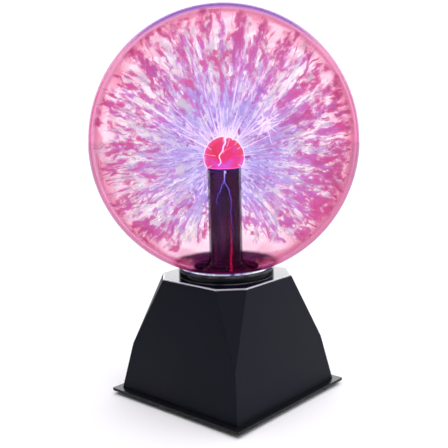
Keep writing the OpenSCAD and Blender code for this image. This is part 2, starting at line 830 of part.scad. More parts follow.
// Side view of the rocker about its pivot: round ends and a face, at +X, bent into a shallow V
module rocker_outline() {
    reach = rocker_r + 1;
    rise = reach * tan(rocker_tilt);
    intersection() {
        circle(rocker_r);
        polygon([
            [-1.6, -reach], [-1.6, reach],
            [rocker_mid_y + rise, reach], [rocker_mid_y, 0], [rocker_mid_y + rise, -reach]
        ]);
    }
}

// Puts children on the pivot, tilted from the switch's middle position.
// At rest the lamp is on, with the rocker's upper end pressed in.
module on_pivot(y, angle) {
    on_back_wall(-panel_x) translate([0, y, 0]) rotate([angle, 0, 0]) children();
}

// Case of the switch with its bezel
module switch_housing() {
    color([0.03, 0.03, 0.03]) on_back_wall(-panel_x) difference() {
        union() {
            translate([-housing_w / 2, housing_back_y, -housing_l / 2])
                cube([housing_w, fit - housing_back_y + 0.5, housing_l]);
            translate([-bezel_w / 2, fit, -bezel_l / 2]) cube([bezel_w, bezel_t, bezel_l]);
        }
        translate([-cavity_w / 2, floor_y, -cavity_l / 2]) cube([cavity_w, 20, cavity_l]);
        translate([0, pivot_y, 0]) rotate([0, 90, 0])
            cylinder(r = pivot_pin_r + fit, h = 2 * housing_w, center = true);
        for (z = [-pad_reach, 0, pad_reach])
            translate([-2.5, housing_back_y - 1, z - 0.5]) cube([5, 12, 1]);
    }
}

// Rocker that the finger presses
module switch_rocker() {
    color([0.04, 0.04, 0.04]) on_pivot(pivot_y, rocker_tilt) difference() {
        union() {
            rotate([90, 0, 90]) linear_extrude(rocker_w, center = true) rocker_outline();
            rotate([90, 0, 0]) cylinder(r = 2.2, h = 4.6);
        }
        rotate([0, 90, 0]) cylinder(r = pivot_pin_r + fit, h = 2 * rocker_w, center = true);
        rotate([90, 0, 0]) translate([0, 0, 1.5]) cylinder(r = plunger_r + fit, h = 10);
    }
}

// Steel pin that the rocker turns on
module rocker_pin() {
    color([0.7, 0.7, 0.72]) on_back_wall(-panel_x) translate([0, pivot_y, 0])
        rotate([0, 90, 0]) cylinder(r = pivot_pin_r, h = housing_w - 0.4, center = true);
}

// Round-nosed plunger in the rocker's stem
module rocker_plunger() {
    color([0.85, 0.8, 0.6]) on_pivot(pivot_y, rocker_tilt) rotate([90, 0, 0]) {
        translate([0, 0, 3.4]) cylinder(r = plunger_r, h = plunger_reach - plunger_r - 3.4);
        translate([0, 0, plunger_reach - plunger_r]) sphere(r = plunger_r, $fn = 32);
    }
}

// Coil that pushes the plunger out
module plunger_spring() {
    coil_r = 0.75;
    turns = 2.5;
    steps = 40;
    pitch = 1.35 / turns;
    points = [
        for (i = [0:steps])
            let (a = 360 * turns * i / steps)
                [coil_r * cos(a), -1.75 - pitch * turns * i / steps, coil_r * sin(a)]
    ];
    color([0.7, 0.7, 0.72]) on_pivot(pivot_y, rocker_tilt)
        swept_tube(points, 0.15, 8, [0, 1, 0]);
}

// See-saw contact under the plunger, with a half-round saddle on the fulcrum's edge
module contact_blade() {
    color([0.85, 0.6, 0.4]) on_pivot(blade_y, blade_ratio * rocker_tilt) difference() {
        union() {
            translate([-blade_w / 2, saddle_r, -blade_l / 2]) cube([blade_w, blade_t, blade_l]);
            rotate([0, 90, 0]) cylinder(r = saddle_r + 0.35, h = blade_w, center = true);
        }
        rotate([0, 90, 0]) cylinder(r = saddle_r, h = 2 * blade_w, center = true);
        translate([-blade_w, -2, -blade_l]) cube([2 * blade_w, 2, 2 * blade_l]);
    }
}

// Three terminals: a round-edged fulcrum in the middle and a contact pad at each end
module switch_terminals() {
    color([0.8, 0.75, 0.6]) on_back_wall(-panel_x) {
        translate([-2.35, housing_back_y - terminal_l, -fulcrum_r])
            cube([4.7, blade_y - housing_back_y + terminal_l, 2 * fulcrum_r]);
        translate([0, blade_y, 0]) rotate([0, 90, 0]) cylinder(r = fulcrum_r, h = 4.7, center = true);
        for (z = [-pad_reach, pad_reach])
            translate([-2.35, housing_back_y - terminal_l, z - 0.4])
                cube([4.7, pad_top_y - housing_back_y + terminal_l, 0.8]);
    }
}

// Three insulated wires from the switch's terminals to a header
module switch_wires() {
    for (i = [-1, 0, 1]) color([0.9, 0.9, 0.9])
        wall_wire(
            -panel_x, housing_back_y - terminal_l, i * pad_reach,
            switch_header_x + i * wire_pitch, header_top + 8 + i * 2.5
        );
}

glass_globe();
glass_stem();
exhaust_tip();
electrode_ball();
electrode_rod();
stem_sleeve();
stem_bushing();
neck_cap();
globe_gasket();
collar_ring();
collar_screws();
base_shell();
foot_plate();
cover_screws();
rubber_feet();
circuit_board();
board_screws();
core_lower();
core_upper();
core_strap();
secondary_bobbin();
secondary_winding();
primary_winding();
hv_lead();
heat_sink();
power_transistor();
transistor_screw();
control_chip();
filter_capacitors();
film_capacitor();
resistors();
rectifier_diode();
microphone_capsule();
board_headers();
jack_housing();
jack_pin();
jack_nut();
jack_tags();
jack_wires();
switch_housing();
switch_rocker();
rocker_pin();
rocker_plunger();
plunger_spring();
contact_blade();
switch_terminals();
switch_wires();
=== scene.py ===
"""Looks of the plasma ball: glass, plasma, plastics and the white studio around the CAD frame.

Everything is in metres in the CAD frame: +Z up, the globe's axis on X = Y = 0, front at -Y.
"""

import math
import random

import bmesh
import bpy
from mathutils import Matrix, Vector, noise


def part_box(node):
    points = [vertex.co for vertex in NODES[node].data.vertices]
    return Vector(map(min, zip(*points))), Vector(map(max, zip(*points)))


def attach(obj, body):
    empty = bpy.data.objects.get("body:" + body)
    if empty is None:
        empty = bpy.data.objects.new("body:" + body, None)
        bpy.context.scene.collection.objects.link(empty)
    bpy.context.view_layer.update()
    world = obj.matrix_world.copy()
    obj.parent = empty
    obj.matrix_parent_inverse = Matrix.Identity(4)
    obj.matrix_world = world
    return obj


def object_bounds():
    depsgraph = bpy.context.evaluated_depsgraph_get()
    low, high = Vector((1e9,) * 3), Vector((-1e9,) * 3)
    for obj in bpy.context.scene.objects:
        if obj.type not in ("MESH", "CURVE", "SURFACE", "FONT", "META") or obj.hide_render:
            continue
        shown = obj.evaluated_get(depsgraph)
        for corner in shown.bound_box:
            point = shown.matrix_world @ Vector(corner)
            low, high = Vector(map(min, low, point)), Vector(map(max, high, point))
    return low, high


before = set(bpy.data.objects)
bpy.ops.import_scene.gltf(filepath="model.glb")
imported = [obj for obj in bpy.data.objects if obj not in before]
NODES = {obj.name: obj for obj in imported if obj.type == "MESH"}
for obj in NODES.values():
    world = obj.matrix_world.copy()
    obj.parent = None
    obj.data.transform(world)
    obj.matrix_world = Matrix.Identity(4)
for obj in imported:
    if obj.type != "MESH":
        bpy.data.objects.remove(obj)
cad_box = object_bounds()
MM = 0.001


# ---------- places taken from the frame ----------

def low(name):
    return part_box(name)[0]


def high(name):
    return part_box(name)[1]


GLOBE_R = high("glass_globe").x
GLOBE = Vector((0, 0, high("glass_globe").z - GLOBE_R))
# The gas stops just short of the 2 mm wall
GAS_R = GLOBE_R - 2.6 * MM
BULB_R = 15 * MM
BALL = Vector((0, 0, high("glass_stem").z - BULB_R))
# The stem's wall and its gap to the sleeve add 1.5 mm
STEM_R = high("stem_sleeve").x + 1.5 * MM
STEM_FOOT_Z = low("glass_stem").z
SLEEVE_TOP_Z = high("stem_sleeve").z
# The glow round the electrode stops just above the sleeve
GLOW_FLOOR_Z = SLEEVE_TOP_Z + 0.2 * MM
DECK_Z = high("base_shell").z
# The dish at the stem's foot: how far its top is below the globe's centre, and its reach
DISH_DROP = 81 * MM
DISH_R = 46 * MM

# The camera's azimuth from the front, in radians, and the level directions that follow from it
AZIMUTH = math.radians(41.4)
TOWARD = Vector((math.sin(AZIMUTH), -math.cos(AZIMUTH), 0))
RIGHT = Vector((math.cos(AZIMUTH), math.sin(AZIMUTH), 0))
# How far the camera's slope shifts what stands nearer, for each unit that it is nearer
VIEW_SLOPE = 0.17

# Where several filaments meet, to the right of the electrode and in front of it
KNOT = BALL + RIGHT * 30 * MM + TOWARD * 22 * MM + Vector((0, 0, 25 * MM))


# ---------- shader helpers ----------

def srgb(r, g, b):
    """A colour given as 0 to 255 screen values, as linear RGBA."""
    def linear(c):
        c /= 255
        return c / 12.92 if c <= 0.04045 else ((c + 0.055) / 1.055) ** 2.4
    return (linear(r), linear(g), linear(b), 1.0)


class Shader:
    """A node material that is written from its output backwards."""

    def __init__(self, name):
        self.mat = bpy.data.materials.new(name)
        self.mat.use_nodes = True
        self.tree = self.mat.node_tree
        self.tree.nodes.clear()
        self.out = self.add("OutputMaterial")

    def add(self, kind, inputs=None, **settings):
        made = self.tree.nodes.new("ShaderNode" + kind)
        for key, value in settings.items():
            setattr(made, key, value)
        for key, value in (inputs or {}).items():
            self.put(made.inputs[key], value)
        return made

    def put(self, socket, value):
        if isinstance(value, bpy.types.NodeSocket):
            self.tree.links.new(value, socket)
        elif isinstance(value, bpy.types.Node):
            self.tree.links.new(value.outputs[0], socket)
        else:
            socket.default_value = value

    def place(self):
        """The point in the CAD frame, in metres."""
        return self.add("TexCoord").outputs["Object"]

    def split(self, vector):
        return self.add("SeparateXYZ", {"Vector": vector})

    def math(self, operation, a, b=0.0, clamp=False):
        return self.add("Math", {0: a, 1: b}, operation=operation, use_clamp=clamp).outputs[0]

    def stretch(self, vector, scale):
        return self.add("VectorMath", {0: vector, 1: scale}, operation="MULTIPLY").outputs[0]

    def noise(self, vector, scale, detail=2.0, rough=0.5):
        made = self.add("TexNoise", {"Vector": vector, "Scale": scale, "Detail": detail,
                                     "Roughness": rough})
        return made.outputs["Fac"]

    def ramp(self, factor, stops, smooth=True):
        made = self.add("ValToRGB", {"Fac": factor})
        band = made.color_ramp
        band.interpolation = "EASE" if smooth else "LINEAR"
        while len(band.elements) < len(stops):
            band.elements.new(0.5)
        for element, (at, colour) in zip(band.elements, stops):
            element.position = at
            element.color = colour if not isinstance(colour, float) else (colour,) * 3 + (1,)
        return made.outputs["Color"]

    def mix(self, factor, a, b):
        made = self.add("Mix", data_type="RGBA")
        self.put(made.inputs[0], factor)
        self.put(made.inputs[6], a)
        self.put(made.inputs[7], b)
        return made.outputs[2]

    def bump(self, height, strength, distance, round_edges=None):
        made = self.add("Bump", {"Height": height, "Strength": strength, "Distance": distance})
        if round_edges is not None:
            self.put(made.inputs["Normal"], self.add("Bevel", {"Radius": round_edges}, samples=6))
        return made

    def edges(self, radius, gain):
        """1 on sharp edges and 0 away from them."""
        soft = self.add("Bevel", {"Radius": radius}, samples=4)
        hard = self.add("NewGeometry").outputs["Normal"]
        same = self.add("VectorMath", {0: soft, 1: hard}, operation="DOT_PRODUCT").outputs["Value"]
        return self.math("MULTIPLY", self.math("SUBTRACT", 1.0, same), gain, clamp=True)

    def principled(self, **inputs):
        named = {key.replace("_", " "): value for key, value in inputs.items()}
        return self.add("BsdfPrincipled", named)

    def done(self, surface=None, volume=None):
        if surface is not None:
            self.put(self.out.inputs["Surface"], surface)
        if volume is not None:
            self.put(self.out.inputs["Volume"], volume)
        return self.mat


# ---------- materials ----------

def moulded_plastic(name, colour, rough, grain=0.25, depth=0.012, spread=0.06, edge=None, highlight_colour=None,
                    shine=0.5):
    """Moulded plastic: a fine grain of the given pitch and depth in mm, and slightly uneven gloss.

    spread is how far the roughness varies about rough, and shine how strongly it mirrors. edge is
    the radius in mm that its edges are shaded with. A highlight colour puts a painted highlight
    along them, and needs an edge."""
    s = Shader(name)
    at = s.place()
    fine = s.noise(at, 1 / (grain * MM), 2.0)
    broad = s.noise(at, 45.0, 3.0)
    # Edges paler and rougher in patches
    edge_patches = s.math("MULTIPLY", s.edges(0.4 * MM, 5.0), s.noise(at, 260.0, 3.0))
    pale = [c * 1.5 + 0.01 for c in colour[:3]] + [1]
    tone = colour
    if highlight_colour is not None:
        # Painted highlight along the edges in the given colour, broken up by noise
        painted_highlight = s.math("MULTIPLY", s.edges(edge * MM, 6.0), s.ramp(
            s.noise(at, 90.0, 1.0), [(0.35, 0.35), (0.6, 1.0)]))
        tone = s.mix(painted_highlight, colour, highlight_colour)
    tint = s.mix(s.math("ADD", s.math("MULTIPLY", broad, 0.35), edge_patches, clamp=True), tone, pale)
    roughness = s.math("ADD", s.math("MULTIPLY", broad, spread), rough - spread / 2)
    roughness = s.math("ADD", roughness, s.math("MULTIPLY", edge_patches, 0.12))
    return s.done(s.principled(
        Base_Color=tint, Roughness=roughness, Specular_IOR_Level=shine,
        Normal=s.bump(fine, 0.5, depth * MM, edge and edge * MM)))


def shell_plastic():
    """Satin black ABS on the sides, glossy on the level deck, with painted highlights on its edges.
    """
    s = Shader("satin_black_abs")
    at = s.place()
    up = s.split(s.add("NewGeometry").outputs["True Normal"]).outputs["Z"]
    level = s.math("GREATER_THAN", up, 0.95)
    fine = s.noise(at, 1 / (0.35 * MM), 3.0)
    broad = s.noise(at, 30.0, 3.0)
    edge_patches = s.math("MULTIPLY", s.edges(0.5 * MM, 5.0), s.noise(at, 260.0, 3.0))
    tint = s.mix(broad, srgb(3, 4, 18), srgb(7, 8, 26))
    # Edges greyer and less blue in patches
    tint = s.mix(edge_patches, tint, srgb(4, 4, 8))
    # Painted white highlight along the deck's top edges, up to 2.6 mm wide
    rim = s.math("GREATER_THAN", s.split(at).outputs["Z"], DECK_Z - 0.9 * MM)
    rim = s.math("MULTIPLY", rim, s.edges(2.6 * MM, 9.0))
    tint = s.mix(rim, tint, srgb(244, 244, 250))
    satin = s.math("ADD", s.math("MULTIPLY", broad, 0.08), 0.45)
    rough = s.add("Mix", {0: level, 2: satin, 3: 0.08}).outputs[0]
    height = s.math("MULTIPLY", fine, s.math("SUBTRACT", 1.0, level))
    return s.done(s.principled(
        Base_Color=tint, Roughness=rough, Specular_IOR_Level=0.165,
        Normal=s.bump(height, 0.6, 0.02 * MM, 0.35 * MM)))


def clear_bead():
    """Clear silicone round the globe's foot, with painted white highlights and a painted
    blue-violet glow in patches.
    """
    s = Shader("clear_silicone")
    at = s.place()
    painted_light_patches = s.noise(at, 70.0, 3.0)
    # Painted white highlights in patches over blue-violet, and the same colours glow as painted
    # light
    tint = s.ramp(painted_light_patches, [(0.36, srgb(66, 58, 150)), (0.46, srgb(176, 178, 216)),
                          (0.56, srgb(246, 246, 255))])
    return s.done(s.principled(
        Base_Color=tint, Roughness=0.18, Specular_IOR_Level=0.4, Emission_Color=tint,
        Emission_Strength=0.55, Normal=s.bump(s.noise(at, 420.0, 2.0), 0.4, 0.05 * MM)))


def metal(name, colour, rough, pitch=0.15):
    """Machined or drawn metal with fine uneven lines."""
    s = Shader(name)
    at = s.place()
    lines = s.noise(s.stretch(at, (1, 1, 6)), 1 / (pitch * 6 * MM), 3.0)
    tint = s.mix(lines, [c * 0.8 for c in colour[:3]] + [1], colour)
    roughness = s.math("ADD", s.math("MULTIPLY", lines, 0.2), rough - 0.1)
    return s.done(s.principled(
        Base_Color=tint, Metallic=1.0, Roughness=roughness, Normal=s.bump(lines, 0.3, 0.01 * MM)))


def ringed(name, colour, dark, pitch, rough, metallic=0.0):
    """Close turns of wire, one ridge for each pitch in mm of height."""
    s = Shader(name)
    z = s.split(s.place()).outputs["Z"]
    turn = s.math("SINE", s.math("MULTIPLY", z, 2 * math.pi / (pitch * MM)))
    half = s.math("ADD", s.math("MULTIPLY", turn, 0.5), 0.5)
    return s.done(s.principled(
        Base_Color=s.mix(half, dark, colour), Roughness=rough, Metallic=metallic,
        Normal=s.bump(half, 0.8, pitch * 0.25 * MM)))


def board_mask():
    """Green solder mask with paler copper tracks under it."""
    s = Shader("solder_mask")
    at = s.place()
    cells = s.add("TexBrick", {"Vector": at, "Scale": 90.0, "Mortar Size": 0.06,
                               "Color1": srgb(14, 70, 34), "Color2": srgb(18, 84, 42),
                               "Mortar": srgb(40, 120, 60)})
    blot = s.noise(at, 180.0, 2.0)
    tint = s.mix(s.math("MULTIPLY", blot, 0.4), cells.outputs["Color"], srgb(10, 55, 28))
    return s.done(s.principled(
        Base_Color=tint, Roughness=0.28, Normal=s.bump(cells.outputs["Fac"], 0.4, 0.03 * MM)))


def banded():
    """Resistor lacquer with colour bands across the body."""
    s = Shader("banded_lacquer")
    x = s.split(s.place()).outputs["X"]
    along = s.math("DIVIDE", s.math("ADD", x, 37 * MM), 10 * MM)
    tan, brown = srgb(205, 180, 130), srgb(80, 40, 20)
    red, gold = srgb(170, 30, 20), srgb(180, 140, 50)
    metal_end = srgb(190, 190, 195)
    tint = s.ramp(along, [(0.0, metal_end), (0.18, tan), (0.28, brown), (0.33, tan), (0.42, red),
                          (0.47, tan), (0.56, brown), (0.61, tan), (0.72, gold), (0.77, tan),
                          (0.83, metal_end)], smooth=False)
    speck = s.noise(s.place(), 900.0, 2.0)
    return s.done(s.principled(
        Base_Color=tint, Roughness=0.35, Normal=s.bump(speck, 0.2, 0.02 * MM)))


def limb_tint(s, at, facing, body_edge, outline):
    """The tint of the globe's outer surface, which deepens to its outline, with a painted lilac
    reflection at the top.

    body_edge and outline are the tints where it is seen nearly and fully edge on."""
    body = s.ramp(facing, [(0.0, 1.0), (0.60, 1.0), (0.72, body_edge), (1.0, body_edge)])
    rim = s.ramp(facing, [(0.0, 0.0), (0.84, 0.0), (0.89, 1.0), (1.0, 1.0)])
    wide = s.ramp(facing, [(0.0, 0.0), (0.72, 0.0), (0.80, 1.0), (1.0, 1.0)])
    from_centre = s.add("VectorMath", {0: at, 1: GLOBE}, operation="DISTANCE").outputs["Value"]
    outside = s.math("GREATER_THAN", from_centre, GLOBE_R - 1 * MM)
    # Painted lilac reflection along the outline near the top of the globe
    high_up = s.math("DIVIDE", s.math("SUBTRACT", s.split(at).outputs["Z"], GLOBE.z + 62 * MM),
                     24 * MM, clamp=True)
    rim = s.math("MAXIMUM", rim, s.math("MULTIPLY", high_up, wide))
    edge_tint = s.mix(high_up, outline, srgb(198, 196, 238))
    return s.mix(outside, (1, 1, 1, 1), s.mix(rim, body, edge_tint))


def dark_band(s, at, bare, top):
    """The bare glass, dark below a ragged line at the height top, with a painted purple glow there.
    """
    z = s.split(at).outputs["Z"]
    ragged = s.math("MULTIPLY", s.math("SUBTRACT", s.noise(at, 120.0, 2.0), 0.5), 1.2 * MM)
    depth = s.math("SUBTRACT", top, s.math("ADD", z, ragged))
    cover = s.math("DIVIDE", depth, 1.6 * MM, clamp=True)
    # Painted purple glow in blotches over the dark band
    painted_glow = s.ramp(s.noise(at, 55.0, 2.0), [(0.35, srgb(22, 8, 46)), (0.65, srgb(78, 12, 62))])
    dark = s.principled(Base_Color=srgb(22, 8, 40), Roughness=0.12, Specular_IOR_Level=0.3,
                        Emission_Color=painted_glow, Emission_Strength=1.0)
    return s.add("MixShader", {0: s.math("MULTIPLY", cover, 0.95), 1: bare, 2: dark})


def red_skin(s, at, bare, bottom):
    """The bare glass, glowing red to magenta above the height bottom."""
    z = s.split(at).outputs["Z"]
    blot = s.noise(at, 85.0, 3.0, 0.6)
    lower = s.math("DIVIDE", s.math("SUBTRACT", BALL.z + 2 * MM, z), 14 * MM, clamp=True)
    mood = s.math("ADD", blot, s.math("MULTIPLY", lower, 0.28))
    warm = s.ramp(mood, [(0.36, srgb(238, 8, 54)), (0.50, srgb(255, 22, 96)),
                         (0.62, srgb(252, 22, 146)), (0.78, srgb(238, 84, 214))])
    skin = s.add("Emission", {"Color": warm, "Strength": 1.0})
    there = s.math("DIVIDE", s.math("SUBTRACT", z, bottom), 1.0 * MM, clamp=True)
    return s.add("MixShader", {0: s.math("MULTIPLY", there, 0.88), 1: bare, 2: skin})


def clear_glass(name, wall_tint, density, sheen, body_edge, outline, dark_band_top=None,
                glow_from=None):
    """Clear blown glass: gloss by angle over a see-through wall that tints over its length.

    Under the height dark_band_top the wall is dark with a painted purple glow, and over glow_from
    it glows red."""
    s = Shader(name)
    at = s.place()
    normal = s.bump(s.noise(at, 35.0, 1.0), 0.15, 0.15 * MM)
    facing = s.add("LayerWeight", {"Blend": 0.5}).outputs["Facing"]
    clear = s.add("BsdfTransparent", {"Color": limb_tint(s, at, facing, body_edge, outline)})
    gloss = s.add("BsdfGlossy", {"Color": (1, 1, 1, 1), "Roughness": 0.02, "Normal": normal})
    edge = s.math("ADD", s.math("MULTIPLY", s.math("POWER", facing, 5.0), sheen), 0.004)
    surface = s.add("MixShader", {0: edge, 1: clear, 2: gloss})
    if dark_band_top is not None:
        surface = dark_band(s, at, surface, dark_band_top)
    if glow_from is not None:
        surface = red_skin(s, at, surface, glow_from)
    return s.done(surface, s.add("VolumeAbsorption", {"Color": wall_tint, "Density": density}))


def electrode_glow():
    """The conductive shell, lit red and magenta by the discharge around it."""
    s = Shader("electrode_glow")
    at = s.place()
    blot = s.noise(at, 70.0, 3.0)
    warm = s.ramp(blot, [(0.30, srgb(214, 22, 60)), (0.48, srgb(246, 42, 88)),
                         (0.60, srgb(255, 70, 150)), (0.74, srgb(226, 84, 205))])
    return s.done(s.principled(
        Base_Color=warm, Roughness=0.3, Emission_Color=warm, Emission_Strength=0.75,
        Normal=s.bump(s.noise(at, 500.0, 3.0), 0.4, 0.1 * MM)))


def sleeve_plastic():
    """Black ribbed tube with the purple and red gleams that the filaments leave on it."""
    s = Shader("ribbed_sleeve")
    at = s.place()
    xyz = s.split(at)
    angle = s.math("ARCTAN2", xyz.outputs["Y"], xyz.outputs["X"])
    height = s.math("DIVIDE", s.math("SUBTRACT", xyz.outputs["Z"], STEM_FOOT_Z), 80 * MM)
    rib = s.math("SINE", s.math("MULTIPLY", xyz.outputs["Z"], 2 * math.pi / (1.9 * MM)))
    wander = s.math("MULTIPLY", s.noise(at, 60.0, 2.0), 0.5)

    def gleam(centre, width):
        """One upright stripe at an angle about the axis, in radians."""
        off = s.math("ABSOLUTE", s.math("SUBTRACT", s.math("ADD", angle, wander), centre + 0.25))
        return s.math("SUBTRACT", 1.0, s.math("DIVIDE", off, width), clamp=True)

    red = s.math("MULTIPLY", gleam(-0.52, 0.11), s.math("SUBTRACT", 1.15, height, clamp=True))
    fade = s.math("SUBTRACT", 1.6, s.math("MULTIPLY", height, 2.6), clamp=True)
    red = s.math("MULTIPLY", red, fade)
    violet = s.math("MULTIPLY", gleam(-1.25, 0.5), s.math("MULTIPLY", height, 0.35))
    blotch = s.noise(s.stretch(at, (1, 1, 0.25)), 160.0, 3.0)
    dim = s.math("MULTIPLY", s.math("SUBTRACT", blotch, 0.48, clamp=True), 1.3)
    glint = s.math("GREATER_THAN", s.math("MULTIPLY", rib, gleam(0.62, 0.12)), 0.35)
    upper = s.math("SUBTRACT", s.math("MULTIPLY", height, 2.4), 1.2, clamp=True)
    glint = s.math("MULTIPLY", glint, upper)
    glow = s.mix(dim, srgb(44, 10, 40), srgb(150, 34, 110))
    glow = s.mix(violet, glow, srgb(64, 44, 130))
    glow = s.mix(red, glow, srgb(230, 18, 92))
    cap = s.math("DIVIDE", s.math("SUBTRACT", xyz.outputs["Z"], SLEEVE_TOP_Z - 4 * MM),
                 4 * MM, clamp=True)
    glow = s.mix(s.math("MULTIPLY", cap, 0.85), glow, srgb(54, 28, 118))
    glow = s.mix(s.math("MULTIPLY", glint, 0.6), glow, srgb(225, 205, 255))
    return s.done(s.principled(
        Base_Color=srgb(14, 5, 18), Roughness=0.5, Specular_IOR_Level=0.08,
        Emission_Color=glow, Emission_Strength=0.9, Normal=s.bump(rib, 0.7, 0.12 * MM)))


def gas_haze(name, colour, density, glow=None, glow_strength=0.0):
    """Even glowing gas: it tints what is behind it by the length of gas in the way."""
    s = Shader(name)
    soak = s.add("VolumeAbsorption", {"Color": colour, "Density": density})
    if glow is None:
        return s.done(volume=soak)
    light = s.add("Emission", {"Color": glow, "Strength": glow_strength})
    return s.done(volume=s.add("AddShader", {0: soak, 1: light}))


def streamer_gas():
    """Wisps of gas: colour from each wisp's own points, broken into strokes along its length."""
    s = Shader("streamer_gas")
    tint = s.add("Attribute", attribute_name="tint")
    uv = s.add("UVMap", uv_map="Flow").outputs[0]
    across, along = s.split(uv).outputs["X"], s.split(uv).outputs["Y"]
    # Across runs from 0 to 1 within each wisp, after a whole number that differs from wisp to wisp
    part = s.math("FRACT", across)
    side = s.math("SUBTRACT", 1.0, s.math("ABSOLUTE", s.math("SUBTRACT", s.math(
        "MULTIPLY", part, 2.0), 1.0)))
    edge = s.math("MULTIPLY", side, 2.2, clamp=True)
    stroke = s.noise(s.stretch(uv, (1.25, 2.9, 1)), 1.0, 3.0, 0.55)
    torn = s.math("MULTIPLY", s.math("SUBTRACT", stroke, 0.455), 8.0, clamp=True)
    solid = s.math("MULTIPLY", s.math("MULTIPLY", edge, torn), tint.outputs["Alpha"])
    light = s.add("Emission", {"Color": tint.outputs["Color"], "Strength": 1.0})
    clear = s.add("BsdfTransparent", {"Color": (1, 1, 1, 1)})
    return s.done(s.add("MixShader", {0: solid, 1: clear, 2: light}))


def filament_light():
    """The hot thread of a filament, white in the middle of its length and pinker at the glass."""
    s = Shader("filament_light")
    away = s.add("VectorMath", {0: s.place(), 1: BALL}, operation="DISTANCE").outputs["Value"]
    far = s.math("DIVIDE", s.math("SUBTRACT", away, BULB_R), 80 * MM, clamp=True)
    tint = s.ramp(far, [(0.0, srgb(255, 236, 255)), (0.35, srgb(246, 222, 255)),
                        (0.7, srgb(250, 190, 240)), (1.0, srgb(250, 150, 205))])
    return s.done(s.add("Emission", {"Color": tint, "Strength": 1.3}))


def floor_paper():
    """White studio paper with a faint mottle."""
    s = Shader("studio_floor")
    mottle = s.noise(s.place(), 8.0, 2.0)
    tint = s.mix(mottle, (0.90, 0.90, 0.90, 1), (0.93, 0.93, 0.93, 1))
    return s.done(s.principled(Base_Color=tint, Roughness=0.9))


# ---------- mesh helpers ----------

def piece(name, mesh_or_bm, material, smooth=True):
    """A new visible piece from a mesh, on the lamp's body."""
    if isinstance(mesh_or_bm, bmesh.types.BMesh):
        mesh = bpy.data.meshes.new(name)
        mesh_or_bm.to_mesh(mesh)
        mesh_or_bm.free()
    else:
        mesh = mesh_or_bm
    if smooth:
        mesh.polygons.foreach_set("use_smooth", [True] * len(mesh.polygons))
    made = bpy.data.objects.new(name, mesh)
    bpy.context.scene.collection.objects.link(made)
    made.data.materials.append(material)
    made.visible_diffuse = made.visible_shadow = False
    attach(made, "lamp")
    return made


def dress(material, *names):
    """Gives CAD nodes a material."""
    for name in names:
        slots = NODES[name].data.materials
        slots.clear()
        slots.append(material)


def reach(direction):
    """Distance from the electrode's centre to the edge of the gas along a unit direction."""
    offset = BALL - GLOBE
    along = offset.dot(direction)
    return -along + math.sqrt(along * along - offset.length_squared + GAS_R * GAS_R)


def directions(rng, count, downward_limit):
    """Evenly spread unit directions, none closer to straight down than the limit in degrees."""
    lowest = -math.cos(math.radians(downward_limit))
    golden = math.pi * (3 - math.sqrt(5))
    for i in range(count):
        z = 1 - (1 - lowest) * (i + 0.5) / count
        around = golden * i + rng.uniform(-0.35, 0.35)
        flat = math.sqrt(max(0.0, 1 - z * z))
        wobble = Vector((rng.uniform(-1, 1), rng.uniform(-1, 1), rng.uniform(-1, 1))) * 0.08
        yield (Vector((flat * math.cos(around), flat * math.sin(around), z)) + wobble).normalized()


def wander(direction, start, end, steps, sway, rng, kink=0.0):
    """Points of a path out from the electrode that sways more the further it goes."""
    side = direction.orthogonal().normalized()
    other = direction.cross(side)
    seed = Vector((rng.uniform(0, 90), rng.uniform(0, 90), rng.uniform(0, 90)))
    points = []
    for i in range(steps + 1):
        t = i / steps
        r = start + (end - start) * t
        at = seed + direction * (r / (26 * MM))
        a = noise.noise(at) + 0.45 * noise.noise(at * 3.1) + kink * noise.noise(at * 9.0)
        b = noise.noise(at + Vector((31, 7, 3))) + 0.45 * noise.noise(at * 3.1 + Vector((5, 9, 2)))
        b += kink * noise.noise(at * 9.0 + Vector((8, 1, 4)))
        grow = sway * r * (0.25 + 0.75 * t)
        points.append(BALL + direction * r + (side * a + other * b) * grow)
    return points


def inside(point):
    """The point, drawn back into the gas if it has strayed past it."""
    off = point - GLOBE
    return point if off.length <= GAS_R else GLOBE + off * (GAS_R / off.length)


def clear_of_stem(point, width):
    """0 where a wisp would hide the electrode, its stem or the dish from the front, else 1."""
    off = point - BALL
    near = off.dot(TOWARD)
    if near <= 0:
        return 1.0
    side, rise = abs(off.dot(RIGHT)), off.z - VIEW_SLOPE * near
    gap = side - STEM_R if rise < 0 else math.hypot(side, rise) - BULB_R
    above = point.z - GLOBE.z - VIEW_SLOPE * near + DISH_DROP
    over_dish = max(above, side - DISH_R)
    return min(max((min(gap, over_dish) - width / 2 - 1 * MM) / (2.5 * MM), 0.0), 1.0)


# ---------- plasma ----------

WISPS = [
    # name, count, start mm, end share, width mm at start and end, colour at each, opacity
    ("rose", 720, (42, 84), (0.97, 1.0), (2.8, 13.0),
     (srgb(206, 132, 224), srgb(220, 90, 158)), 0.95),
    ("white", 330, (38, 78), (0.80, 0.99), (1.8, 10.0),
     (srgb(222, 214, 246), srgb(234, 228, 244)), 0.92),
    ("gleam", 220, (42, 80), (0.78, 0.96), (1.6, 8.5),
     (srgb(250, 248, 255), srgb(254, 252, 255)), 0.95),
    ("lavender", 280, (16, 36), (0.46, 0.84), (2.4, 9.0),
     (srgb(196, 186, 250), srgb(204, 182, 244)), 0.85),
    ("lilac", 220, (28, 56), (0.62, 0.96), (1.0, 7.0),
     (srgb(208, 168, 246), srgb(214, 134, 220)), 0.92),
    ("veil", 150, (15, 22), (0.70, 0.94), (1.4, 7.0),
     (srgb(176, 150, 252), srgb(208, 124, 236)), 0.70),
    ("hair", 230, (30, 76), (0.8, 1.0), (0.35, 0.6),
     (srgb(92, 84, 140), srgb(120, 74, 110)), 0.9),
]
WISP_STEPS = 14
SHORTEST_WISP = 12 * MM
# Cosines of the cone round the front that the deeper wisps stay out of, and round the top for veils
FRONT_CONE = 0.80
VEIL_CONE = 0.70

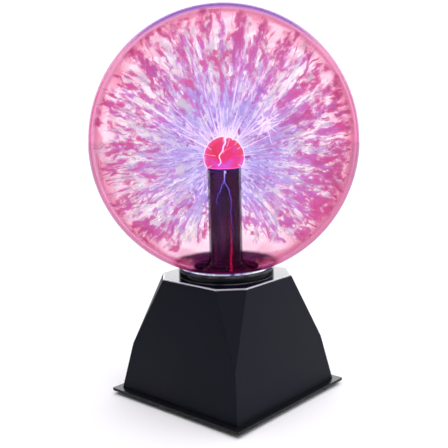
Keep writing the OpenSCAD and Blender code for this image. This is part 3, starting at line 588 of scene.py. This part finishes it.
# Threads listed one by one: lean from upright in degrees, and share of the way to the glass
UPRIGHT_THREADS = ((-9, 0.97), (-4, 0.99), (5, 0.98), (11, 0.97), (-15, 0.8), (17, 0.93),
                   (-27, 0.7), (26, 0.86), (38, 0.8), (-44, 0.62), (-60, 0.6), (66, 0.66))


def streamers():
    """All the wisps as one mesh of narrow ribbons, with flow coordinates and their own tints."""
    rng = random.Random(41)
    bm = bmesh.new()
    flow = bm.loops.layers.uv.new("Flow")
    tint = bm.loops.layers.float_color.new("tint")
    number = 0
    for name, count, start_mm, end_share, widths, colours, opacity in WISPS:
        for direction in directions(rng, count, 30):
            number += 1
            if name == "veil" and direction.z < VEIL_CONE:
                continue
            # Only the paler wisps point at the front, so the violet core shows through them
            if direction.dot(TOWARD) > FRONT_CONE and name in ("rose", "gleam", "hair"):
                continue
            # More pink on the right, more open gas on the left
            lean = direction.dot(RIGHT)
            drop = {"rose": 0.26 * (1 - lean), "white": 0.3 * (1 + lean),
                    "gleam": 0.34 * (1 + lean)}
            if rng.random() < drop.get(name, 0.0):
                continue
            length = reach(direction)
            start = rng.uniform(*start_mm) * MM
            end = length * rng.uniform(*end_share)
            start = min(start, end - SHORTEST_WISP)
            path = [inside(p) for p in wander(direction, start, end, WISP_STEPS, 0.07, rng)]
            roll = rng.uniform(0, math.pi)
            side = direction.orthogonal().normalized()
            side = Matrix.Rotation(roll, 3, direction) @ side
            fat = rng.uniform(0.6, 1.5)
            shade = rng.uniform(0.85, 1.08)
            rows, seen = [], []
            for i, p in enumerate(path):
                t = i / WISP_STEPS
                width = (widths[0] + (widths[1] - widths[0]) * t ** 0.8) * fat * MM
                width *= 0.75 + 0.5 * noise.noise(Vector((number * 1.7, t * 5, 0)))
                turn = Matrix.Rotation(0.8 * t, 3, direction) @ side
                rows.append([bm.verts.new(inside(p + turn * width * (c - 0.5)))
                             for c in (0, 0.5, 1)])
                seen.append(clear_of_stem(p, width))
            for i in range(WISP_STEPS):
                for c in (0, 1):
                    face = bm.faces.new((rows[i][c], rows[i][c + 1],
                                         rows[i + 1][c + 1], rows[i + 1][c]))
                    corners = ((c, i), (c + 1, i), (c + 1, i + 1), (c, i + 1))
                    for loop, (cc, ii) in zip(face.loops, corners):
                        t = ii / WISP_STEPS
                        u = min(max(cc * 0.5, 0.001), 0.999)
                        v = t * (end - start) / (30 * MM) + number * 0.37
                        loop[flow].uv = (number + u, v)
                        blend = [a + (b - a) * t for a, b in zip(colours[0], colours[1])]
                        ends = min(1.0, t * 4, (1 - t) * 12 + 0.35) * seen[ii]
                        loop[tint] = (*(part * shade for part in blend[:3]), opacity * ends)
    return piece("plasma_streamers", bm, streamer_gas())


def tube_along(bm, points, radius_at, sides=6):
    """A thin closed tube swept along points in a bmesh."""
    rings = []
    count = len(points)
    for i, p in enumerate(points):
        ahead = points[min(i + 1, count - 1)] - points[max(i - 1, 0)]
        ahead.normalize()
        side = ahead.orthogonal().normalized()
        if rings:
            side = (previous - ahead * previous.dot(ahead)).normalized()
        previous = side
        other = ahead.cross(side)
        r = radius_at(i / (count - 1))
        rings.append([bm.verts.new(p + (side * math.cos(a) + other * math.sin(a)) * r)
                      for a in (2 * math.pi * k / sides for k in range(sides))])
    for a, b in zip(rings, rings[1:]):
        for k in range(sides):
            j = (k + 1) % sides
            bm.faces.new((a[k], a[j], b[j], b[k]))
    bm.faces.new(list(reversed(rings[0])))
    bm.faces.new(rings[-1])


def thread(bm, points, thick, thin=0.35):
    """A filament that tapers from thick to its thin share."""
    tube_along(bm, points, lambda t: thick * (1 - (1 - thin) * t))


def waver(seed, x):
    """A smooth sideways wobble that differs from seed to seed."""
    return Vector([noise.noise(seed + Vector((x, c * 9, 0))) for c in range(3)])


def filaments():
    """Bright threads from the bulb to the glass, most of them upward, some with a fork."""
    rng = random.Random(7)
    bm = bmesh.new()
    ways = [(d, 0.13, rng.uniform(0.4, 0.9)) for d in directions(rng, 54, 62)
            if d.z > 0.1 or d.dot(TOWARD) < 0 or abs(d.dot(RIGHT)) > 0.5]
    for lean, share in UPRIGHT_THREADS:
        a = math.radians(lean)
        depth = TOWARD * rng.uniform(-0.25, 0.35)
        ways.append(((RIGHT * math.sin(a) + Vector((0, 0, math.cos(a))) + depth).normalized(),
                     0.62, share))
    for direction, thick, share in ways:
        length = reach(direction)
        path = [inside(p) for p in
                wander(direction, BULB_R + 0.3 * MM, length * share, 48, 0.045, rng, 0.08)]
        thick *= rng.uniform(0.8, 1.25) * MM
        thread(bm, path, thick)
        if rng.random() < 0.6:
            at = rng.randint(12, 32)
            turn = Matrix.Rotation(rng.uniform(0.25, 0.6), 3, direction.orthogonal())
            turn = Matrix.Rotation(rng.uniform(0, 6.28), 3, direction) @ turn
            away = (turn @ direction).normalized()
            rest = (path[-1] - path[at]).length * rng.uniform(0.4, 0.8)
            seed = Vector((rng.uniform(0, 50), 0, 0))
            fork = []
            for k in range(24):
                t = k / 23
                fork.append(inside(path[at] + away * rest * t + waver(seed, t * 4) * 5 * MM * t))
            thread(bm, fork, thick * 0.7)
    # A knot of short threads to the right of the electrode, where several filaments meet
    for k in range(9):
        turn = 2 * math.pi * k / 9 + rng.uniform(-0.2, 0.2)
        size = rng.uniform(8, 19) * MM
        out = (RIGHT * math.cos(turn) + Vector((0, 0, math.sin(turn)))
               + TOWARD * rng.uniform(-0.4, 0.4))
        seed = Vector((rng.uniform(0, 50), 5, 0))
        arm = []
        for i in range(14):
            t = i / 13
            arm.append(KNOT + out * size * t + waver(seed, t * 5) * 1.2 * MM * t)
        thread(bm, arm, 0.7 * MM, 0.2)
    # One thread crosses the front of the bulb
    arc = []
    for i in range(30):
        t = i / 29
        aside = math.radians(14 - 30 * t + 9 * noise.noise(Vector((t * 6, 4, 0))))
        rise = math.radians(86 - 104 * t)
        out = (TOWARD * math.cos(rise) * math.cos(aside) + RIGHT * math.sin(aside)
               + Vector((0, 0, math.sin(rise))))
        arc.append(BALL + out.normalized() * (BULB_R + 1.2 * MM))
    thread(bm, arc, 0.85 * MM, 0.4)
    return piece("plasma_filaments", bm, filament_light())


def stem_filament():
    """A dim violet filament and a shorter one beside it, down the outside of the stem."""
    top_z = BALL.z - 9 * MM
    longest = 62
    bm = bmesh.new()
    for shift, drop in ((0.36, longest), (-0.48, 26)):
        points = []
        for i in range(40):
            t = i / 39
            lift = top_z - drop * MM * t
            bend = shift * min(1.0, max(0.0, drop * t - 7) / 14)
            bend += 0.16 * noise.noise(Vector((t * 11, drop, 0)))
            r = STEM_R + 0.5 * MM + 0.3 * MM * math.sin(t * 9)
            out = TOWARD * math.cos(bend) + RIGHT * math.sin(bend)
            points.append(out * r + Vector((0, 0, lift)))
        thread(bm, points, 0.42 * MM, 0.3)
    s = Shader("stem_filament_light")
    z = s.split(s.place()).outputs["Z"]
    down = s.math("DIVIDE", s.math("SUBTRACT", top_z, z), longest * MM, clamp=True)
    tint = s.ramp(down, [(0.0, srgb(214, 200, 255)), (0.16, srgb(116, 106, 240)),
                         (0.5, srgb(92, 72, 190)), (1.0, srgb(60, 24, 84))])
    glow = s.done(s.add("Emission", {"Color": tint, "Strength": 1.0}))
    return piece("stem_filament", bm, glow)


def lumpy_ball(name, centre, radius, lump, material, inner=None, ragged=0.0, lowest=-1.0):
    """A closed, slightly uneven ball of gas, with a hollow inside it if inner is given.

    ragged is how far the gas reaches into that hollow, and lowest the height it stops at."""
    bm = bmesh.new()
    bmesh.ops.create_icosphere(bm, subdivisions=5, radius=1.0)
    for v in bm.verts:
        d = v.co.normalized()
        v.co = centre + d * radius * (1 + lump * noise.noise(d * 2.3))
        v.co.z = max(v.co.z, lowest)
    if inner is not None:
        hollow = bmesh.ops.create_icosphere(bm, subdivisions=5, radius=1.0)["verts"]
        faces = {f for v in hollow for f in v.link_faces}
        for v in hollow:
            d = v.co.normalized()
            v.co = centre + d * (inner - ragged * max(0.0, 0.15 + 1.6 * noise.noise(d * 7)))
            v.co.z = max(v.co.z, lowest + 0.3 * MM)
        bmesh.ops.reverse_faces(bm, faces=list(faces))
    return piece(name, bm, material)


# ---------- build ----------

def build_object():
    """Dresses every CAD node and adds the plasma."""
    # Below this height the globe's glass is dark, with a painted purple glow
    dark_band_top = GLOBE.z - 90.8 * MM
    dress(clear_glass("globe_glass", srgb(232, 134, 196), 50.0, 0.12, srgb(238, 218, 229),
                      srgb(222, 216, 224), dark_band_top),
          "glass_globe")
    NODES["glass_globe"].visible_shadow = False
    dress(clear_glass("stem_glass", srgb(70, 24, 84), 170.0, 0.10, (1, 1, 1, 1), srgb(120, 90, 140),
                      glow_from=GLOW_FLOOR_Z),
          "glass_stem", "exhaust_tip")
    dress(electrode_glow(), "electrode_ball")
    dress(sleeve_plastic(), "stem_sleeve", "stem_bushing")
    dress(shell_plastic(), "base_shell")
    dress(moulded_plastic("polished_black_abs", srgb(15, 15, 18), 0.16, 0.4, 0.004),
          "jack_housing", "switch_housing", "switch_rocker")
    # The foot plate's pale edge line is a painted highlight
    dress(moulded_plastic("glossy_black_abs", srgb(9, 9, 13), 0.30, 0.4, 0.003, edge=0.45,
                          highlight_colour=srgb(96, 96, 108), shine=0.2), "foot_plate")
    # The collar's white arcs along its top edges are a painted highlight
    dress(moulded_plastic("polished_collar", srgb(8, 8, 12), 0.10, 0.4, 0.003, edge=1.3,
                          highlight_colour=srgb(250, 250, 255), shine=0.1), "collar_ring")
    dress(clear_bead(), "globe_gasket")
    dress(moulded_plastic("black_rubber", srgb(24, 24, 24), 0.75, 0.3, 0.05), "rubber_feet")
    dress(moulded_plastic("natural_nylon", srgb(225, 222, 208), 0.45),
          "neck_cap", "board_headers", "secondary_bobbin")
    dress(metal("zinc_steel", srgb(196, 198, 204), 0.32),
          "collar_screws", "cover_screws", "board_screws", "transistor_screw", "rocker_pin",
          "core_strap", "plunger_spring")
    dress(metal("nickel", srgb(210, 208, 200), 0.2), "jack_nut", "jack_tags")
    dress(metal("yellow_brass", srgb(205, 170, 90), 0.25),
          "electrode_rod", "rocker_plunger", "jack_pin", "switch_terminals")
    dress(metal("copper_strip", srgb(200, 120, 80), 0.3), "contact_blade")
    dress(metal("plain_aluminium", srgb(205, 207, 210), 0.38), "heat_sink", "microphone_capsule")
    dress(ringed("enamelled_turns", srgb(190, 92, 44), srgb(90, 34, 14), 0.25, 0.3, 0.7),
          "secondary_winding")
    dress(ringed("thick_turns", srgb(205, 110, 50), srgb(110, 48, 20), 1.4, 0.28, 0.7),
          "primary_winding")
    dress(board_mask(), "circuit_board")
    dress(moulded_plastic("ferrite", srgb(50, 50, 54), 0.6, 0.2, 0.03), "core_lower", "core_upper")
    dress(moulded_plastic("red_silicone", srgb(170, 20, 22), 0.5), "hv_lead")
    dress(moulded_plastic("black_epoxy", srgb(30, 30, 32), 0.55),
          "power_transistor", "control_chip", "rectifier_diode")
    dress(moulded_plastic("blue_sleeve", srgb(24, 36, 96), 0.3), "filter_capacitors")
    dress(moulded_plastic("red_epoxy", srgb(150, 34, 26), 0.35), "film_capacitor")
    dress(banded(), "resistors")
    dress(moulded_plastic("black_pvc", srgb(26, 26, 28), 0.5), "jack_wires")
    dress(moulded_plastic("grey_pvc", srgb(150, 150, 154), 0.5), "switch_wires")
    streamers()
    filaments()
    stem_filament()
    lumpy_ball("plasma_core_haze", BALL + Vector((0, 0, 6 * MM)), 54 * MM, 0.20,
               gas_haze("core_haze", srgb(170, 166, 250), 7.0), inner=BULB_R + 0.9 * MM)
    lumpy_ball("plasma_knot", KNOT, 4.2 * MM, 0.0,
               gas_haze("knot", srgb(250, 244, 255), 20.0, srgb(226, 222, 255), 75.0))
    lumpy_ball("plasma_rim_haze", GLOBE + (RIGHT - Vector((0, 0, 1))) * 0.6 * MM, GAS_R - 0.9 * MM,
               0.0, gas_haze("rim_haze", srgb(226, 92, 158), 25.0), inner=GAS_R - 2.6 * MM,
               ragged=7 * MM)
    lumpy_ball("electrode_corona", BALL, BULB_R + 0.7 * MM, 0.0,
               gas_haze("corona", srgb(250, 200, 240), 20.0, srgb(255, 214, 244), 125.0),
               inner=BULB_R + 0.1 * MM, lowest=GLOW_FLOOR_Z)


# ---------- studio ----------

def studio():
    """A white paper floor, a white surround that is dim in front, and two lights."""
    bm = bmesh.new()
    bmesh.ops.create_grid(bm, x_segments=8, y_segments=8, size=2.5)
    mesh = bpy.data.meshes.new("floor")
    bm.to_mesh(mesh)
    bm.free()
    floor = bpy.data.objects.new("floor", mesh)
    floor.location = (0, 0, cad_box[0][2] - 0.02 * MM)
    bpy.context.scene.collection.objects.link(floor)
    floor.data.materials.append(floor_paper())

    world = bpy.data.worlds.new("studio")
    bpy.context.scene.world = world
    world.use_nodes = True
    tree = world.node_tree
    tree.nodes.clear()

    def node(kind, values=(), **settings):
        made = tree.nodes.new("ShaderNode" + kind)
        for key, value in settings.items():
            setattr(made, key, value)
        for key, value in values:
            if isinstance(value, bpy.types.NodeSocket):
                tree.links.new(value, made.inputs[key])
            else:
                made.inputs[key].default_value = value
        return made

    # The studio is white behind the object and dim in front of it, and the backdrop is pure white
    around = node("TexCoord").outputs["Generated"]
    behind = node("VectorMath", [(0, around), (1, (0.75, 0.6, 0.28))], operation="DOT_PRODUCT")
    bright = node("MapRange", [(0, behind.outputs["Value"]), (1, -0.9), (2, 0.95), (3, 0.08),
                               (4, 0.98)], interpolation_type="SMOOTHSTEP")
    lit = node("Background", [(0, (0.92, 0.94, 1, 1)), (1, bright.outputs[0])])
    seen = node("Background", [(0, (1, 1, 1, 1)), (1, 1.4)])
    camera_ray = node("LightPath").outputs["Is Camera Ray"]
    mix = node("MixShader", [(0, camera_ray), (1, lit.outputs[0]), (2, seen.outputs[0])])
    node("OutputWorld", [("Surface", mix.outputs[0])])

    def lamp(name, kind, place, power, **settings):
        light = bpy.data.lights.new(name, kind)
        light.energy = power
        for key, value in settings.items():
            setattr(light, key, value)
        made = bpy.data.objects.new(name, light)
        made.location = place
        made.rotation_euler = (-Vector(place)).to_track_quat("-Z", "Y").to_euler()
        made.visible_camera = False
        bpy.context.scene.collection.objects.link(made)
        return made

    back = -TOWARD * 1.3 + Vector((0, 0, 0.42))
    # The softbox is for reflections alone, so that it doesn't brighten the floor behind the object
    softbox = lamp("back_softbox", "AREA", back, 9.6, shape="RECTANGLE", size=1.5, size_y=0.7)
    softbox.visible_diffuse = False
    lamp("overhead", "SUN", (0, 0, 2), 2.15, angle=math.radians(88))


def camera():
    """A pinhole camera a little above the deck, in front of the base's near corner."""
    elevation, roll = math.radians(9.9), math.radians(-1.17)
    distance = 582.3 * MM
    focal_share = 1.70870536  # focal length over the picture's width
    back = TOWARD * math.cos(elevation) + Vector((0, 0, math.sin(elevation)))
    up = back.cross(RIGHT)
    target = Vector((0, 0, high("foot_plate").z + 120.9 * MM)) - RIGHT * 1.07 * MM
    right_rolled = RIGHT * math.cos(roll) + up * math.sin(roll)
    up_rolled = up * math.cos(roll) - RIGHT * math.sin(roll)
    data = bpy.data.cameras.new("camera")
    data.sensor_width = 36
    data.lens = data.sensor_width * focal_share
    data.clip_start = 0.01
    made = bpy.data.objects.new("camera", data)
    turn = Matrix((right_rolled, up_rolled, back)).transposed()
    made.matrix_world = Matrix.Translation(target + back * distance) @ turn.to_4x4()
    bpy.context.scene.collection.objects.link(made)
    bpy.context.scene.camera = made


camera()
build_object()
studio()
scene = bpy.context.scene
scene.view_settings.view_transform = "Standard"
scene.cycles.transparent_max_bounces = 48
